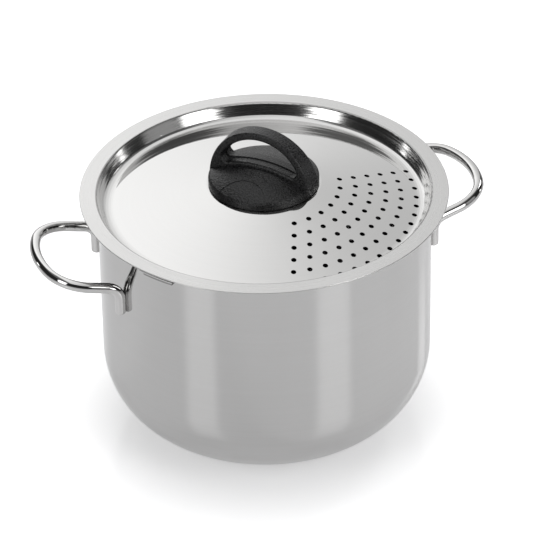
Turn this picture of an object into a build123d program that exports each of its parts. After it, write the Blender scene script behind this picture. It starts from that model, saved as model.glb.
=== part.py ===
from build123d import *
import os
from math import asin, cos, degrees, radians, sin, sqrt

# A pasta pot: a straight-sided steel pot with two wire handles and a strainer lid that turns to lock.
# Millimetres, +Z up. The origin is the middle of the base's underside, and the pot's axis is Z.
# The pouring side faces -Y. Angles are in degrees about Z, counted from +X.

# Sheet, wire and general clearances
pot_sheet = 0.8
lid_sheet = 0.8
weld_gap = 0.05
fit_gap = 0.05
overrun = 5.0

# Pot: outer radius, height from the underside of the shell to the rim, corner above the base
pot_radius = 110.0
pot_height = 168.6
base_corner = 52.0
rim_reach = 5.2
rim_flare = 3.0
rim_roll = 1.2
rim_drop = 2.6

# Base: an aluminium disc inside a steel cap, under the flat of the shell
core_thickness = 3.5
cap_sheet = 0.6
base_inset = 0.4
cap_edge_round = 0.5

# Wire handles: both stand a little behind the middle, away from the pouring side
wire_diameter = 7.0
handle_swing = 6.2
handle_half_width = 37.8
handle_reach = 43.1
handle_shoulder = 26.3
handle_end_curve = 61.0
handle_bend = 9.0
handle_slope = 11.5
handle_depth = 33.8
foot_length = 19.1
foot_flat = 6.4
foot_end_round = 1.5

# Strainer lid: a brim over the rim, a slanted wall, a shallow cone and a flat middle under the knob
brim_width = 11.2
brim_edge_round = 0.3
wall_slant = 5.4
lid_depth = 10.1
seat_rise = 6.0
seat_border = 1.0
brim_bend = 1.8
gutter_bend = 5.0
seat_bend = 5.0

# Strainer holes: rings of holes in one sector of the cone, the first ring well out from the knob
hole_diameter = 3.5
first_ring_gap = 12.6
last_ring_gap = 4.6
hole_pitch = 10.8
ring_count = 6
first_ring_holes = 7
ring_step_holes = 2
sector_angle = -50.2

# Bayonet hooks under the brim, and the rim notches that let them through
hook_angles = (-145.8, 34.2)
hook_length = 22.5
hook_sheet = 0.8
hook_rim_gap = 1.2
hook_drop = 5.8
hook_lip = 5.2
hook_edge_gap = 0.6
notch_side_gap = 2.0
notch_lip_gap = 0.4

# Knob: a low domed base with a thumb rest cut into it, and an arched strap in line with the holes
knob_radius = 36.4
knob_band = 4.8
knob_ledge = 1.2
knob_dome = 14.6
knob_bottom_round = 1.0
arch_angle = -47.2
arch_inset = 0.2
arch_centre_height = 2.6
arch_strap = 5.2
arch_width = 11.0
arch_foot_width = 17.0
arch_sill_rise = 2.0
arch_round = 1.6
arch_gap_round = 3.5
rail_rise = 0.7
rail_width = 1.4
thumb_reach = 38.0
thumb_radius = 17.8
thumb_depth = 0.4
knob_wall = 3.2
knob_boss_radius = 9.0

# Knob fixing: moulded-in insert, screw from below, washer
insert_radius = 4.0
insert_length = 9.0
screw_radius = 2.5
screw_reach = 7.5
screw_fit = 0.1
screw_hole_gap = 0.3
screw_head_radius = 5.0
screw_head_height = 3.0
screw_head_round = 1.0
slot_width = 1.2
slot_depth = 1.4
washer_radius = 8.0
washer_hole_radius = 3.0
washer_thickness = 1.0

# Levels that the sizes above give
shell_bottom = cap_sheet + core_thickness
rim_top = shell_bottom + pot_height
brim_top = rim_top + lid_sheet
seat_top = brim_top + seat_rise
flat_radius = pot_radius - base_corner
cap_radius = flat_radius - base_inset
core_radius = cap_radius - cap_sheet - fit_gap
rim_radius = pot_radius + rim_reach
brim_radius = pot_radius + brim_width
wall_foot_radius = pot_radius - wall_slant
seat_radius = knob_radius + seat_border
hook_radius = rim_radius + hook_rim_gap
hook_outer_radius = hook_radius + hook_sheet
hook_lip_radius = hook_outer_radius - hook_lip
hook_bottom = rim_top - hook_drop


def upright_plane(angle, level=0):
    """The plane through the axis at this angle, its x outwards, its y up and its origin at this level."""
    out = (cos(radians(angle)), sin(radians(angle)), 0)
    return Plane(origin=(0, 0, level), x_dir=out, z_dir=(out[1], -out[0], 0))


def arc_degrees(length, radius):
    """The angle that an arc of this length takes at this radius."""
    return degrees(length / radius)


os.makedirs("parts", exist_ok=True)

# Pot body: a deep-drawn shell with a flared and rolled rim, and a notch for each hook
notch_length = hook_length + notch_side_gap + notch_side_gap
notch_floor = hook_lip_radius - notch_lip_gap
notch_turn = arc_degrees(notch_length, rim_radius)
rim_under = rim_top - pot_sheet
roll_radius = rim_radius - pot_sheet
with BuildPart() as pot_body:
    with BuildSketch(Plane.XZ):
        with BuildLine():
            FilletPolyline(
                (0, shell_bottom),
                (pot_radius, shell_bottom),
                (pot_radius, rim_under),
                (roll_radius, rim_under),
                (roll_radius, rim_under - rim_drop),
                radius=(base_corner, rim_flare, rim_roll),
            )
            offset(amount=pot_sheet, side=Side.LEFT)
        make_face()
    revolve(axis=Axis.Z)
    for hook_angle in hook_angles:
        with BuildSketch(upright_plane(hook_angle - notch_turn / 2)):
            with BuildLine():
                Polyline(
                    (notch_floor, rim_top - hook_drop),
                    (rim_radius + overrun, rim_top - hook_drop),
                    (rim_radius + overrun, rim_top + overrun),
                    (notch_floor, rim_top + overrun),
                    close=True,
                )
            make_face()
        revolve(axis=Axis.Z, revolution_arc=notch_turn, mode=Mode.SUBTRACT)
pot_body.part.label = "pot_body"
export_step(pot_body.part, "parts/pot_body.step")

# Base core: the aluminium disc that spreads the heat
with BuildPart() as base_core:
    with BuildSketch(Plane.XY.offset(cap_sheet)):
        Circle(core_radius)
    extrude(amount=core_thickness)
base_core.part.label = "base_core"
export_step(base_core.part, "parts/base_core.step")

# Base cap: the steel dish that wraps the core and reaches the shell
with BuildPart() as base_cap:
    with BuildSketch(Plane.XY):
        Circle(cap_radius)
    extrude(amount=shell_bottom)
    fillet(base_cap.edges().group_by(Axis.Z)[0], radius=cap_edge_round)
    with BuildSketch(Plane.XY.offset(cap_sheet)):
        Circle(cap_radius - cap_sheet)
    extrude(amount=core_thickness, mode=Mode.SUBTRACT)
base_cap.part.label = "base_cap"
export_step(base_cap.part, "parts/base_cap.step")

# Handles: one wire each, with feet down the wall, a bend outwards and a rounded bow that slopes up
wire_radius = wire_diameter / 2
foot_x = sqrt((pot_radius + foot_flat - wire_radius) ** 2 - handle_half_width**2)
bow_level = rim_top - handle_depth
slope_cos = cos(radians(handle_slope))
slope_sin = sin(radians(handle_slope))
bow_reach = (pot_radius + handle_reach - foot_x) / slope_cos
end_centre = bow_reach - handle_end_curve
turn_sin = (handle_half_width - handle_shoulder) / (handle_end_curve - handle_shoulder)
turn_cos = sqrt(1 - turn_sin**2)
shoulder_x = end_centre + (handle_end_curve - handle_shoulder) * turn_cos
shoulder_y = handle_half_width - handle_shoulder
middle_turn = (radians(90) + asin(turn_sin)) / 2
shoulder_middle = (
    shoulder_x + handle_shoulder * cos(middle_turn),
    shoulder_y + handle_shoulder * sin(middle_turn),
)
shoulder_end = (
    end_centre + handle_end_curve * turn_cos,
    handle_end_curve * turn_sin,
)


def make_handle(name, angle):
    """Sweep one wire handle whose middle stands at this angle, and write it under this name."""
    out = Vector(cos(radians(angle)), sin(radians(angle)), 0)
    across = Vector(-sin(radians(angle)), cos(radians(angle)), 0)
    up = Vector(0, 0, 1)
    legs = []
    for side in (-1, 1):
        with BuildLine(Plane(across * side * handle_half_width, x_dir=out, z_dir=-across)) as leg:
            FilletPolyline(
                (foot_x, bow_level - foot_length),
                (foot_x, bow_level),
                (foot_x + shoulder_x * slope_cos, bow_level + shoulder_x * slope_sin),
                radius=handle_bend,
            )
        legs.append(leg.line)
    bow_plane = Plane(
        out * foot_x + up * bow_level,
        x_dir=out * slope_cos + up * slope_sin,
        z_dir=up * slope_cos - out * slope_sin,
    )
    with BuildLine(bow_plane) as bow:
        ThreePointArc(
            (shoulder_x, -handle_half_width),
            (shoulder_middle[0], -shoulder_middle[1]),
            (shoulder_end[0], -shoulder_end[1]),
        )
        ThreePointArc((shoulder_end[0], -shoulder_end[1]), (bow_reach, 0), shoulder_end)
        ThreePointArc(shoulder_end, shoulder_middle, (shoulder_x, handle_half_width))
    with BuildLine() as path:
        add(legs[0])
        add(bow.line)
        add(legs[1])
    foot_point = out * foot_x - across * handle_half_width + up * (bow_level - foot_length)
    with BuildPart() as handle:
        with BuildSketch(Plane(foot_point, x_dir=out, z_dir=up)):
            Circle(wire_radius)
        sweep(path=path.wire())
        fillet(handle.edges().group_by(Axis.Z)[0], radius=foot_end_round)
        with BuildSketch(Plane.XY):
            Circle(pot_radius + weld_gap)
        extrude(amount=rim_top, mode=Mode.SUBTRACT)
    handle.part.label = name
    export_step(handle.part, f"parts/{name}.step")


make_handle("right_handle", handle_swing)
make_handle("left_handle", 180 - handle_swing)

# Strainer lid: a pressed disc with a flat middle, a cone, a slanted wall and a flat brim
screw_hole_radius = screw_radius + screw_hole_gap
first_ring_radius = seat_radius + first_ring_gap
last_ring_radius = wall_foot_radius - last_ring_gap
ring_pitch = (last_ring_radius - first_ring_radius) / (ring_count - 1)
with BuildPart() as strainer_lid:
    with BuildSketch(Plane.XZ):
        with BuildLine():
            FilletPolyline(
                (0, seat_top),
                (seat_radius, seat_top),
                (wall_foot_radius, brim_top - lid_depth),
                (pot_radius, brim_top),
                (brim_radius, brim_top),
                radius=(seat_bend, gutter_bend, brim_bend),
            )
            offset(amount=lid_sheet, side=Side.RIGHT)
        make_face()
    revolve(axis=Axis.Z)
    brim_edges = strainer_lid.edges().filter_by(GeomType.CIRCLE).sort_by(SortBy.RADIUS)[-2:]
    fillet(brim_edges, radius=brim_edge_round)
    with BuildSketch(Plane.XY.offset(brim_top - lid_depth - overrun)):
        Circle(screw_hole_radius)
        for ring in range(ring_count):
            ring_radius = first_ring_radius + ring * ring_pitch
            holes = first_ring_holes + ring * ring_step_holes
            step = arc_degrees(hole_pitch, ring_radius)
            spread = step * (holes - 1)
            first = sector_angle - spread / 2
            with PolarLocations(ring_radius, holes, first, spread, endpoint=True):
                Circle(hole_diameter / 2)
    extrude(amount=lid_depth + seat_rise + overrun + overrun, mode=Mode.SUBTRACT)
strainer_lid.part.label = "strainer_lid"
export_step(strainer_lid.part, "parts/strainer_lid.step")

# Hooks: two welded strips that drop past the rim and turn in under it
hook_turn = arc_degrees(hook_length, hook_outer_radius)
hook_foot_radius = brim_radius - hook_edge_gap
for name, angle in zip(("left_hook", "right_hook"), hook_angles):
    with BuildPart() as hook:
        with BuildSketch(upright_plane(angle - hook_turn / 2)):
            with BuildLine():
                Polyline(
                    (hook_radius, rim_top),
                    (hook_foot_radius, rim_top),
                    (hook_foot_radius, rim_top - hook_sheet),
                    (hook_outer_radius, rim_top - hook_sheet),
                    (hook_outer_radius, hook_bottom),
                    (hook_lip_radius, hook_bottom),
                    (hook_lip_radius, hook_bottom + hook_sheet),
                    (hook_radius, hook_bottom + hook_sheet),
                    close=True,
                )
            make_face()
        revolve(axis=Axis.Z, revolution_arc=hook_turn)
    hook.part.label = name
    export_step(hook.part, f"parts/{name}.step")

# Knob: the strap and its sill first, with rounded edges, then the domed base, hollow underneath
dome_radius = knob_radius - knob_ledge
dome_rise = knob_dome - knob_band - knob_ledge
dome_curve = (dome_radius**2 + dome_rise**2) / (dome_rise + dome_rise)
hollow_radius = knob_radius - knob_wall
arch_radius = knob_radius - arch_inset
arch_top = arch_centre_height + arch_radius
arch_plane = upright_plane(arch_angle, seat_top)
cross_plane = upright_plane(arch_angle + 90, seat_top)
with BuildPart() as lid_knob:
    with BuildSketch(arch_plane):
        with Locations((0, arch_centre_height)):
            Circle(arch_radius)
            Rectangle(
                arch_radius * 2,
                arch_radius,
                align=(Align.CENTER, Align.MIN),
                mode=Mode.INTERSECT,
            )
    extrude(amount=arch_foot_width / 2, both=True)
    with BuildSketch(cross_plane):
        with BuildLine():
            Polyline(
                (-arch_foot_width / 2, arch_centre_height),
                (arch_foot_width / 2, arch_centre_height),
                (arch_width / 2, arch_top),
                (-arch_width / 2, arch_top),
                close=True,
            )
        make_face()
    extrude(amount=arch_radius, both=True, mode=Mode.INTERSECT)
    with BuildSketch(arch_plane) as gap:
        with Locations((0, arch_centre_height)):
            Circle(arch_radius - arch_strap)
        with Locations((0, knob_dome - dome_curve)):
            Circle(dome_curve + arch_sill_rise, mode=Mode.SUBTRACT)
        fillet(gap.vertices(), radius=arch_gap_round)
    extrude(amount=arch_foot_width, both=True, mode=Mode.SUBTRACT)
    arch_foot_edges = lid_knob.faces().sort_by(Axis.Z)[0].edges()
    fillet(lid_knob.edges() - arch_foot_edges, radius=arch_round)
    with BuildSketch(arch_plane):
        add(gap.sketch_local)
        offset(amount=-rail_rise, mode=Mode.SUBTRACT)
    extrude(amount=rail_width / 2, both=True)
    with BuildSketch(arch_plane):
        with BuildLine():
            FilletPolyline(
                (0, 0),
                (knob_radius, 0),
                (knob_radius, knob_band),
                (dome_radius, knob_band + knob_ledge),
                radius=(knob_bottom_round, knob_ledge),
            )
            RadiusArc((dome_radius, knob_band + knob_ledge), (0, knob_dome), -dome_curve)
            Line((0, knob_dome), (0, 0))
        make_face()
    revolve(axis=Axis.Z)
    with BuildPart(mode=Mode.PRIVATE) as thumb_rest:
        with BuildSketch(Plane.XY.offset(seat_top)):
            with PolarLocations(thumb_reach, 1, arch_angle - 90):
                Circle(thumb_radius)
        extrude(amount=knob_dome)
        with BuildSketch(arch_plane):
            with BuildLine():
                rest_edge = Polyline(
                    (0, knob_dome - thumb_depth),
                    (0, 0),
                    (thumb_reach + thumb_radius + overrun, 0),
                    (thumb_reach + thumb_radius + overrun, knob_band - thumb_depth),
                    (knob_radius, knob_band - thumb_depth),
                    (dome_radius, knob_band + knob_ledge - thumb_depth),
                )
                RadiusArc(rest_edge @ 1, rest_edge @ 0, -dome_curve)
            make_face()
        revolve(axis=Axis.Z, mode=Mode.SUBTRACT)
    add(thumb_rest.part, mode=Mode.SUBTRACT)
    with BuildSketch(arch_plane):
        with BuildLine():
            hollow_top = RadiusArc(
                (hollow_radius, knob_band - knob_ledge),
                (knob_boss_radius, knob_dome - knob_wall - knob_ledge),
                -dome_curve,
            )
            Polyline(hollow_top @ 1, (knob_boss_radius, 0), (hollow_radius, 0), hollow_top @ 0)
        make_face()
    revolve(axis=Axis.Z, mode=Mode.SUBTRACT)
    with BuildSketch(Plane.XY.offset(seat_top)):
        Circle(insert_radius + fit_gap)
    extrude(amount=insert_length + fit_gap, mode=Mode.SUBTRACT)
lid_knob.part.label = "lid_knob"
export_step(lid_knob.part, "parts/lid_knob.step")

# Insert: the threaded brass bush moulded into the knob
with BuildPart() as knob_insert:
    with BuildSketch(Plane.XY.offset(seat_top)):
        Circle(insert_radius)
        Circle(screw_radius + screw_fit, mode=Mode.SUBTRACT)
    extrude(amount=insert_length)
knob_insert.part.label = "knob_insert"
export_step(knob_insert.part, "parts/knob_insert.step")

# Washer: it bears on the underside of the lid's flat middle
washer_bottom = seat_top - lid_sheet - washer_thickness
with BuildPart() as knob_washer:
    with BuildSketch(Plane.XY.offset(washer_bottom)):
        Circle(washer_radius)
        Circle(washer_hole_radius, mode=Mode.SUBTRACT)
    extrude(amount=washer_thickness)
knob_washer.part.label = "knob_washer"
export_step(knob_washer.part, "parts/knob_washer.step")

# Screw: a slotted round head under the washer and a shank up into the insert
with BuildPart() as knob_screw:
    with BuildSketch(Plane.XY.offset(washer_bottom - screw_head_height)):
        Circle(screw_head_radius)
    extrude(amount=screw_head_height)
    fillet(knob_screw.edges().group_by(Axis.Z)[0], radius=screw_head_round)
    with BuildSketch(Plane.XY.offset(washer_bottom - screw_head_height)):
        Rectangle(screw_head_radius * 2, slot_width)
    extrude(amount=slot_depth, mode=Mode.SUBTRACT)
    with BuildSketch(Plane.XY.offset(washer_bottom)):
        Circle(screw_radius)
    extrude(amount=washer_thickness + lid_sheet + screw_reach)
knob_screw.part.label = "knob_screw"
export_step(knob_screw.part, "parts/knob_screw.step")
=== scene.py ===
import bpy
import bmesh
from math import cos, pi, radians, sin
from mathutils import Matrix, Vector

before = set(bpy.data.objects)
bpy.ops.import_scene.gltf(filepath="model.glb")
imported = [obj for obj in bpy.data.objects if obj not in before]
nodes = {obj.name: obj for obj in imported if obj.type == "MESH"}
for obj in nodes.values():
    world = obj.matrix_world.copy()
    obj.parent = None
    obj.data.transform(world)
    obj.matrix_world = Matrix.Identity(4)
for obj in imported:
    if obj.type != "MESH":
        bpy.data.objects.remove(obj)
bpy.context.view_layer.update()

# Camera: it looks down on the pouring side from far off, through a long lens.
# Directions on the ground are angles about the pot's axis, counted from +X as in the CAD.
camera_angle = radians(-109.75)
camera_elevation = radians(33.89)
camera_distance = 2.412
camera_roll = -0.0192
camera_lens = 242.5
camera_sensor = 36
aim = Vector((0.0006, -0.0002, 0.1104))


def direction(angle, elevation=0.0):
    """The unit vector at this angle on the ground and this elevation above it, both in radians."""
    return Vector((cos(elevation) * cos(angle), cos(elevation) * sin(angle), sin(elevation)))


camera = bpy.data.objects.new("camera", bpy.data.cameras.new("camera"))
bpy.context.scene.collection.objects.link(camera)
back = direction(camera_angle, camera_elevation)
across = direction(camera_angle + pi / 2)
upwards = back.cross(across)
camera_right = across * cos(camera_roll) + upwards * sin(camera_roll)
camera_up = upwards * cos(camera_roll) - across * sin(camera_roll)
camera_turn = Matrix((camera_right, camera_up, back)).transposed().to_4x4()
camera.matrix_world = Matrix.Translation(aim + back * camera_distance) @ camera_turn
camera.data.lens = camera_lens
camera.data.sensor_width = camera_sensor
bpy.context.scene.camera = camera
bpy.context.scene.view_settings.view_transform = "Standard"

# Floor: a white sheet of paper under the pot, which keeps the pot's soft shadow.
# It glows so that the camera sees it white, least beside the pot and fully at its far edge.
# Polished steel sees it a little grey, as far paper is.
floor_size = 6.0
floor_drop = 0.0005
paper_white = (0.86, 0.86, 0.87, 1)
paper_roughness = 0.16
paper_specular = 0.4
paper_glow_near = 0.37
paper_glow_far = 0.72
paper_glow_edge = 1.0
paper_glow_reflected = 0.22
shadow_core = 0.08
shadow_end = 0.165
open_paper = 0.3
far_paper = 1.2


def start_material(name):
    """Make an empty material and return it with its node tree and its Principled BSDF."""
    material = bpy.data.materials.new(name)
    material.use_nodes = True
    return material, material.node_tree, material.node_tree.nodes["Principled BSDF"]


def add_node(tree, kind, inputs=(), **settings):
    """Add a node, set its own settings, and give its inputs a value or a link each."""
    node = tree.nodes.new(kind)
    for name, value in settings.items():
        setattr(node, name, value)
    for socket, value in dict(inputs).items():
        if isinstance(value, bpy.types.NodeSocket):
            tree.links.new(value, node.inputs[socket])
        else:
            node.inputs[socket].default_value = value
    return node


def find_place(tree):
    """The point of the surface that is shaded, as its object has it."""
    return add_node(tree, "ShaderNodeTexCoord").outputs["Object"]


def find_length(tree, vector):
    """The length of a vector."""
    return add_node(tree, "ShaderNodeVectorMath", {0: vector}, operation="LENGTH").outputs["Value"]


def calculate(tree, operation, first, second=0.0, third=0.0):
    """Add a Math node for this operation on numbers or sockets, and return its result."""
    values = {0: first, 1: second, 2: third}
    return add_node(tree, "ShaderNodeMath", values, operation=operation).outputs[0]


def ramp(tree, value, low, high, start=0.0, end=1.0):
    """Map a value smoothly from one range to another, and hold it at the ends."""
    limits = {"Value": value, "From Min": low, "From Max": high, "To Min": start, "To Max": end}
    return add_node(tree, "ShaderNodeMapRange", limits, interpolation_type="SMOOTHSTEP").outputs["Result"]


def stage_mesh(name, mesh, material):
    """Turn a bmesh into an object of the studio, which isn't part of the pot."""
    data = bpy.data.meshes.new(name)
    mesh.to_mesh(data)
    mesh.free()
    data.materials.append(material)
    stage = bpy.data.objects.new(name, data)
    bpy.context.scene.collection.objects.link(stage)
    return stage


paper, tree, shader = start_material("white_paper")
shader.inputs["Base Color"].default_value = paper_white
shader.inputs["Roughness"].default_value = paper_roughness
shader.inputs["Specular IOR Level"].default_value = paper_specular
shader.inputs["Emission Color"].default_value = (1, 1, 1, 1)
path = add_node(tree, "ShaderNodeLightPath")
reach = find_length(tree, find_place(tree))
near_and_far = ramp(tree, reach, shadow_core, shadow_end, paper_glow_near, paper_glow_far)
near_to_edge = ramp(tree, reach, open_paper, far_paper, near_and_far, paper_glow_edge)
seen = calculate(tree, "MULTIPLY", path.outputs["Is Camera Ray"], near_to_edge)
glow = calculate(tree, "MULTIPLY_ADD", path.outputs["Is Glossy Ray"], paper_glow_reflected, seen)
tree.links.new(glow, shader.inputs["Emission Strength"])
paper_mesh = bmesh.new()
bmesh.ops.create_grid(paper_mesh, x_segments=1, y_segments=1, size=floor_size / 2)
floor = stage_mesh("floor", paper_mesh, paper)
floor.location.z = -floor_drop

# Studio: a dark room with a white horizon that the polished steel shows, and an even grey fill.
# Big softboxes stand left, right and behind, a faint one spills past the right, and two small
# reflectors face the handles. All light the pot and show in its steel, but not in the picture.
horizon_top = 0.03
horizon_fade = 0.08
horizon_white = 0.4
room_dark = 0.022
room_fill = 0.25
softbox_distance = 1.6

# Each line has its angle and elevation in degrees, its width and height in metres, and its strength.
softboxes = (
    ("right_softbox", -64, 28, 0.8, 1.3, 3.2),
    ("left_softbox", -155, 28, 0.7, 1.3, 2.8),
    ("rear_softbox", 27, 37, 0.45, 0.7, 5.5),
    ("right_spill", -34, 28, 1.0, 1.3, 0.35),
    ("right_reflector", 2, 10, 0.2, 0.3, 3.0),
    ("left_reflector", 139, 10, 0.2, 0.3, 2.5),
)


def choose(tree, mask, first, second):
    """Mix two numbers by a mask, and return the mixture."""
    return add_node(tree, "ShaderNodeMix", {"Factor": mask, 2: first, 3: second}).outputs[0]


def split(tree, vector):
    """The parts of a vector, which are named X, Y and Z."""
    return add_node(tree, "ShaderNodeSeparateXYZ", {0: vector}).outputs


world = bpy.data.worlds.new("studio")
bpy.context.scene.world = world
world.use_nodes = True
tree = world.node_tree
background = tree.nodes["Background"]
background.inputs["Color"].default_value = (1, 1, 1, 1)
path = add_node(tree, "ShaderNodeLightPath")
look = add_node(tree, "ShaderNodeTexCoord").outputs["Generated"]
room = ramp(tree, split(tree, look)["Z"], horizon_top, horizon_fade, horizon_white, room_dark)
fill = choose(tree, path.outputs["Is Diffuse Ray"], room, room_fill)
shown = choose(tree, path.outputs["Is Camera Ray"], fill, 1.0)
tree.links.new(shown, background.inputs["Strength"])


def start_cloth(name):
    """Make an empty material for lit cloth, and return it with its node tree and its place's parts."""
    cloth = bpy.data.materials.new(name)
    cloth.use_nodes = True
    cloth.node_tree.nodes.clear()
    return cloth, cloth.node_tree, split(cloth.node_tree, find_place(cloth.node_tree))


def light_cloth(tree, glow):
    """Let a cloth glow this strongly."""
    emission = add_node(tree, "ShaderNodeEmission", {"Strength": glow})
    add_node(tree, "ShaderNodeOutputMaterial", {"Surface": emission.outputs[0]})


def glow_between(tree, place, edge, full):
    """A glow that is full in the middle and falls off softly to this edge, along one axis."""
    return ramp(tree, calculate(tree, "ABSOLUTE", place), full, edge, 1.0, 0.0)


def keep_out_of_picture(stage):
    """Let an object of the studio give light and show in steel, but hide it and its shadow."""
    stage.visible_camera = False
    stage.visible_shadow = False


for name, angle, elevation, width, tall, strength in softboxes:
    cloth, tree, parts = start_cloth(name)
    wide_glow = glow_between(tree, parts["X"], width / 2, width / 4)
    tall_glow = glow_between(tree, parts["Y"], tall / 2, tall / 3)
    glow = calculate(tree, "MULTIPLY", wide_glow, tall_glow)
    light_cloth(tree, calculate(tree, "MULTIPLY", glow, strength))
    cloth_mesh = bmesh.new()
    bmesh.ops.create_grid(cloth_mesh, x_segments=1, y_segments=1, size=1)
    bmesh.ops.scale(cloth_mesh, vec=(width / 2, tall / 2, 1), verts=cloth_mesh.verts)
    softbox = stage_mesh(name, cloth_mesh, cloth)
    away = direction(radians(angle), radians(elevation))
    softbox.location = aim + away * softbox_distance
    softbox.rotation_euler = away.to_track_quat("Z", "Y").to_euler()
    keep_out_of_picture(softbox)

# Sweep: a curved cloth diffuser that runs from behind the pot to high over it, for the lid's
# polished cone to reflect. It is brighter at its left end and at the back than over the front.
# Its bright stretch is narrow in front, wider at the back, and falls off softly to a dim margin.
sweep_radius = 0.62
sweep_width = 0.96
sweep_level = 0.17
sweep_start = radians(4)
sweep_turn = radians(121)
sweep_steps = 32
sweep_left = 1.4
sweep_right = 0.68
sweep_sides = (-0.4, 0.4)
sweep_front = 0.75
sweep_back = 1.0
sweep_depth = (-0.3, 0.3)
bright_half = (0.16, 0.36)
bright_depth = (0.22, 0.5)
bright_edge = 0.1
margin_dim = 0.14
diffuser, tree, parts = start_cloth("diffuser")
side_glow = ramp(tree, parts["X"], *sweep_sides, sweep_left, sweep_right)
depth_glow = ramp(tree, parts["Y"], *sweep_depth, sweep_front, sweep_back)
half_width = ramp(tree, parts["Y"], *bright_depth, *bright_half)
bright = glow_between(tree, parts["X"], calculate(tree, "ADD", half_width, bright_edge), half_width)
margin_glow = calculate(tree, "MULTIPLY_ADD", bright, 1 - margin_dim, margin_dim)
glow = calculate(tree, "MULTIPLY", side_glow, depth_glow)
light_cloth(tree, calculate(tree, "MULTIPLY", glow, margin_glow))
sweep_mesh = bmesh.new()
start = Vector((0, cos(sweep_start), sin(sweep_start))) * sweep_radius
ends = [sweep_mesh.verts.new(start + Vector((side * sweep_width / 2, 0, 0))) for side in (-1, 1)]
sweep_edge = sweep_mesh.edges.new(ends)
bmesh.ops.spin(
    sweep_mesh,
    geom=ends + [sweep_edge],
    cent=(0, 0, 0),
    axis=(1, 0, 0),
    angle=sweep_turn,
    steps=sweep_steps,
)
sweep = stage_mesh("sweep", sweep_mesh, diffuser)
sweep_turned = Matrix((across, direction(camera_angle + pi), Vector((0, 0, 1)))).transposed().to_4x4()
sweep.matrix_world = Matrix.Translation((0, 0, sweep_level)) @ sweep_turned
keep_out_of_picture(sweep)

# Pot body: a shell deep-drawn from stainless steel sheet, with a rolled rim.
# Its outside is brushed round and round to an even satin, with very fine lines.
body_line_width = 0.00025
body_line_length = 0.12
body_radius = 0.11
body_dark = (0.588, 0.585, 0.58)
body_light = (0.602, 0.599, 0.595)
body_gloss = (0.04, 0.1)
body_stretch = 0.5
line_share = 0.5
line_detail = 3.0
band_detail = 1.0
band_scale = 0.12
quarter_turn = 0.25
noise_spread = (0.3, 0.7)


def flatten(tree, place):
    """A place without its height, which is its way out from the pot's axis."""
    flat_part = {0: place, 1: (1, 1, 0)}
    return add_node(tree, "ShaderNodeVectorMath", flat_part, operation="MULTIPLY").outputs[0]


def resize(tree, vector, amount):
    """A vector made longer or shorter by this factor."""
    resized = {0: vector, "Scale": amount}
    return add_node(tree, "ShaderNodeVectorMath", resized, operation="SCALE").outputs[0]


def make_streaks(tree, spot, reach, detail):
    """A noise over a spot and over a reach from the axis."""
    noise_inputs = {"Vector": spot, "W": reach, "Scale": 1.0, "Detail": detail}
    return add_node(tree, "ShaderNodeTexNoise", noise_inputs, noise_dimensions="4D").outputs[0]


# Brushed lines run round the axis. They are fine up a wall and out over a flat ring alike.
brushed_lines = bpy.data.node_groups.new("brushed_lines", "ShaderNodeTree")
for name in ("Line Width", "Line Length"):
    brushed_lines.interface.new_socket(name, in_out="INPUT", socket_type="NodeSocketFloat")
for name in ("Line", "Band"):
    brushed_lines.interface.new_socket(name, in_out="OUTPUT", socket_type="NodeSocketFloat")
tree = brushed_lines
given = add_node(tree, "NodeGroupInput").outputs
place = find_place(tree)
flat = flatten(tree, place)
outwards = add_node(tree, "ShaderNodeVectorMath", {0: flat}, operation="NORMALIZE").outputs[0]
around = resize(tree, outwards, calculate(tree, "DIVIDE", body_radius, given["Line Length"]))
rise = calculate(tree, "DIVIDE", split(tree, place)["Z"], given["Line Width"])
reach = calculate(tree, "DIVIDE", find_length(tree, flat), given["Line Width"])
lift = add_node(tree, "ShaderNodeCombineXYZ", {"Z": rise}).outputs[0]
spot = add_node(tree, "ShaderNodeVectorMath", {0: around, 1: lift}).outputs[0]
wide_reach = calculate(tree, "MULTIPLY", reach, band_scale)
lines = make_streaks(tree, spot, reach, line_detail)
bands = make_streaks(tree, resize(tree, spot, band_scale), wide_reach, band_detail)
add_node(tree, "NodeGroupOutput", {"Line": lines, "Band": bands})


def start_metal(name):
    """Make a bare metal and return it with its node tree and its Principled BSDF."""
    metal, tree, shader = start_material(name)
    shader.inputs["Metallic"].default_value = 1.0
    return metal, tree, shader


def brush(tree, width, length):
    """Place the brushed lines in a material and return their line and band masks."""
    group = add_node(tree, "ShaderNodeGroup", node_tree=brushed_lines)
    group.inputs["Line Width"].default_value = width
    group.inputs["Line Length"].default_value = length
    return group.outputs["Line"], group.outputs["Band"]


def spread(tree, noise, start=0.0, end=1.0):
    """Spread the middle of a noise's range from one value to another."""
    return ramp(tree, noise, *noise_spread, start, end)


def mingle(tree, first, second, share):
    """Add two noises up, this share of the first and the rest of the second."""
    rest = calculate(tree, "MULTIPLY", second, 1 - share)
    return calculate(tree, "MULTIPLY_ADD", first, share, rest)


def tint(tree, shader, mask, dark, light):
    """Colour a surface between two colours by a mask."""
    colours = {"Factor": mask, "A": (*dark, 1), "B": (*light, 1)}
    mixed = add_node(tree, "ShaderNodeMix", colours, data_type="RGBA")
    tree.links.new(mixed.outputs["Result"], shader.inputs["Base Color"])


def roughen(tree, shader, roughness):
    """Give a surface this changing roughness."""
    tree.links.new(roughness, shader.inputs["Roughness"])


def emboss(tree, shader, height, strength, distance):
    """Give a surface this relief."""
    bump = add_node(tree, "ShaderNodeBump", {"Height": height, "Strength": strength, "Distance": distance})
    tree.links.new(bump.outputs[0], shader.inputs["Normal"])


def stretch_gloss(tree, shader, amount):
    """Blur reflections across lines that run round the pot's axis."""
    shader.inputs["Anisotropic"].default_value = amount
    shader.inputs["Anisotropic Rotation"].default_value = quarter_turn
    round_axis = add_node(tree, "ShaderNodeTangent", direction_type="RADIAL", axis="Z")
    tree.links.new(round_axis.outputs[0], shader.inputs["Tangent"])


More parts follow.
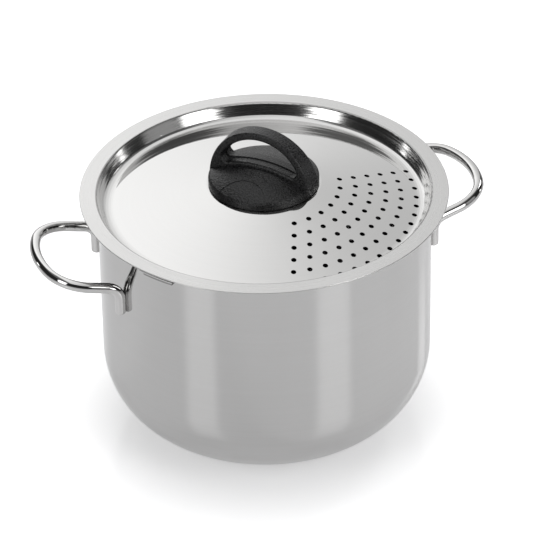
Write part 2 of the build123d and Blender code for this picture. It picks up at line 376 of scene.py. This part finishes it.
def dress(node_name, material):
    """Give a CAD node this one material."""
    data = nodes[node_name].data
    for slot in range(len(data.materials)):
        data.materials[slot] = material


satin_steel, tree, shader = start_metal("satin_steel")
line, band = brush(tree, body_line_width, body_line_length)
tint(tree, shader, spread(tree, mingle(tree, line, band, line_share)), body_dark, body_light)
roughen(tree, shader, spread(tree, line, *body_gloss))
stretch_gloss(tree, shader, body_stretch)
dress("pot_body", satin_steel)

# Base: a steel cap pressed over an aluminium disc that spreads the heat, both bonded to the body.
# The cap's underside is turned in rings, and the disc is plain sheet, hidden inside the cap.
cap_line_width = 0.0004
cap_line_length = 0.08
cap_dark = (0.54, 0.537, 0.532)
cap_light = (0.6, 0.597, 0.592)
cap_gloss = (0.28, 0.4)
cap_stretch = 0.8
disc_line_width = 0.0005
disc_line_length = 0.05
disc_dark = (0.72, 0.725, 0.73)
disc_light = (0.8, 0.805, 0.81)
disc_gloss = (0.42, 0.55)
base_relief = 0.3
base_relief_depth = 0.00003
turned_steel, tree, shader = start_metal("turned_steel")
line, band = brush(tree, cap_line_width, cap_line_length)
tint(tree, shader, spread(tree, band), cap_dark, cap_light)
roughen(tree, shader, spread(tree, line, *cap_gloss))
stretch_gloss(tree, shader, cap_stretch)
emboss(tree, shader, line, base_relief, base_relief_depth)
dress("base_cap", turned_steel)

plain_aluminium, tree, shader = start_metal("plain_aluminium")
line, band = brush(tree, disc_line_width, disc_line_length)
tint(tree, shader, spread(tree, band), disc_dark, disc_light)
roughen(tree, shader, spread(tree, line, *disc_gloss))
emboss(tree, shader, line, base_relief, base_relief_depth)
dress("base_core", plain_aluminium)

# Handles: round steel wire, bent cold, polished bright, and welded to the wall along both feet.
# The polish is all but a mirror, with a faint uneven haze left by the buffing wheel.
wire_dark = (0.65, 0.645, 0.64)
wire_light = (0.69, 0.685, 0.68)
wire_gloss = (0.02, 0.06)
haze_scale = 90.0
haze_detail = 4.0


def scatter(tree, scale, detail):
    """An even noise all over a piece, with this many spots to the metre."""
    noise_inputs = {"Vector": find_place(tree), "Scale": scale, "Detail": detail}
    return add_node(tree, "ShaderNodeTexNoise", noise_inputs).outputs[0]


polished_wire, tree, shader = start_metal("polished_wire")
haze = scatter(tree, haze_scale, haze_detail)
tint(tree, shader, spread(tree, haze), wire_dark, wire_light)
roughen(tree, shader, spread(tree, haze, *wire_gloss))
dress("left_handle", polished_wire)
dress("right_handle", polished_wire)

# Strainer lid: one pressed disc. The cone, the gutter and the slanted wall are polished.
# The flat brim has a fine satin finish, and the holes are punched with a sharp edge.
# Painted shade darkens a thin line along the crease of wall and brim, and faint ripples cross the wall.
lid_line_width = 0.00025
lid_line_length = 0.06
lid_tone_and_crease_shade = (0.4, 0.398, 0.394)
lid_light = (0.662, 0.659, 0.653)
lid_least_shade = 0.96
lid_stretch = 0.4
wall_start = (0.0995, 0.1015)
brim_start = (0.1102, 0.1112)
crease_shade_radius = 0.1103
crease_shade_width = (0.0003, 0.0008)
ripple = 1.0
ripple_depth = 0.0004
cone_gloss = (0.03, 0.05)
wall_gloss = (0.1, 0.2)
brim_gloss = (0.26, 0.36)
lid_steel, tree, shader = start_metal("lid_steel")
line, band = brush(tree, lid_line_width, lid_line_length)
radius = find_length(tree, flatten(tree, find_place(tree)))
on_wall = ramp(tree, radius, *wall_start)
on_brim = ramp(tree, radius, *brim_start)
# Painted shade: the colour turns dark in a thin line along the crease, by the distance from it.
from_crease = calculate(tree, "ABSOLUTE", calculate(tree, "SUBTRACT", radius, crease_shade_radius))
clear_of_crease_shade = ramp(tree, from_crease, *crease_shade_width)
shade = spread(tree, mingle(tree, line, band, line_share), lid_least_shade, 1.0)
tint(tree, shader, calculate(tree, "MULTIPLY", shade, clear_of_crease_shade), lid_tone_and_crease_shade, lid_light)
ripples = calculate(tree, "MULTIPLY", band, calculate(tree, "SUBTRACT", on_wall, on_brim))
emboss(tree, shader, ripples, ripple, ripple_depth)
inner_polish = choose(tree, on_wall, spread(tree, band, *cone_gloss), spread(tree, line, *wall_gloss))
roughen(tree, shader, choose(tree, on_brim, inner_polish, spread(tree, line, *brim_gloss)))
stretch_gloss(tree, shader, lid_stretch)
dress("strainer_lid", lid_steel)

# Hooks: two strips of the same sheet, bent to a hook and spot-welded under the brim.
# They are brushed satin, with painted shade just under the brim, where its shadow falls, and in the sharp
# bend at their foot.
hook_line_width = 0.0003
hook_line_length = 0.01
hook_painted_shade = (0.06, 0.058, 0.056)
hook_bare = (0.72, 0.717, 0.71)
hook_gloss = (0.2, 0.3)
hook_relief = 0.2
hook_relief_depth = 0.00002
brim_shadow_end = (0.1691, 0.1687)
bend_shade_start = (0.1679, 0.1685)
bend_shade_level = 0.4
hook_steel, tree, shader = start_metal("hook_steel")
line, band = brush(tree, hook_line_width, hook_line_length)
level = split(tree, find_place(tree))["Z"]
# Painted shade by height: near black just under the brim, and darker again low in the bend.
below_brim_shadow = ramp(tree, level, *brim_shadow_end)
above_bend_shade = ramp(tree, level, *bend_shade_start, bend_shade_level, 1.0)
tint(tree, shader, calculate(tree, "MULTIPLY", below_brim_shadow, above_bend_shade), hook_painted_shade, hook_bare)
roughen(tree, shader, spread(tree, line, *hook_gloss))
emboss(tree, shader, calculate(tree, "ADD", line, band), hook_relief, hook_relief_depth)
dress("left_hook", hook_steel)
dress("right_hook", hook_steel)

# Knob: black plastic that stands heat, moulded in one piece in a spark-eroded steel mould.
# That leaves a fine matt grain all over it, a little uneven from place to place.
knob_dark = (0.002, 0.002, 0.0022)
knob_light = (0.019, 0.019, 0.0198)
knob_gloss = (0.25, 0.42)
knob_relief = 1.0
knob_relief_depth = 0.0004
grain_scale = 900.0
grain_detail = 2.0
grain_share = 0.85
grain_spread = (0.35, 0.65)
patch_scale = 120.0
patch_detail = 3.0
knob_plastic, tree, shader = start_material("knob_plastic")
grain = scatter(tree, grain_scale, grain_detail)
patches = scatter(tree, patch_scale, patch_detail)
shade = mingle(tree, grain, patches, grain_share)
tint(tree, shader, ramp(tree, shade, *grain_spread), knob_dark, knob_light)
roughen(tree, shader, ramp(tree, grain, *grain_spread, *knob_gloss))
emboss(tree, shader, grain, knob_relief, knob_relief_depth)
dress("lid_knob", knob_plastic)

# Knob fixing: a turned brass bush moulded into the knob, and a zinc-plated steel screw and
# washer that clamp the knob to the lid from below. The plating is faintly mottled.
bush_line_width = 0.0003
bush_line_length = 0.02
bush_dark = (0.66, 0.5, 0.23)
bush_light = (0.76, 0.6, 0.3)
bush_gloss = (0.25, 0.36)
zinc_dark = (0.55, 0.56, 0.57)
zinc_light = (0.66, 0.67, 0.68)
zinc_gloss = (0.26, 0.4)
zinc_relief = 0.2
zinc_relief_depth = 0.00003
mottle_scale = 400.0
mottle_detail = 4.0
turned_brass, tree, shader = start_metal("turned_brass")
line, band = brush(tree, bush_line_width, bush_line_length)
tint(tree, shader, spread(tree, band), bush_dark, bush_light)
roughen(tree, shader, spread(tree, line, *bush_gloss))
dress("knob_insert", turned_brass)

zinc_steel, tree, shader = start_metal("zinc_steel")
mottle = scatter(tree, mottle_scale, mottle_detail)
tint(tree, shader, spread(tree, mottle), zinc_dark, zinc_light)
roughen(tree, shader, spread(tree, mottle, *zinc_gloss))
emboss(tree, shader, mottle, zinc_relief, zinc_relief_depth)
dress("knob_screw", zinc_steel)
dress("knob_washer", zinc_steel)
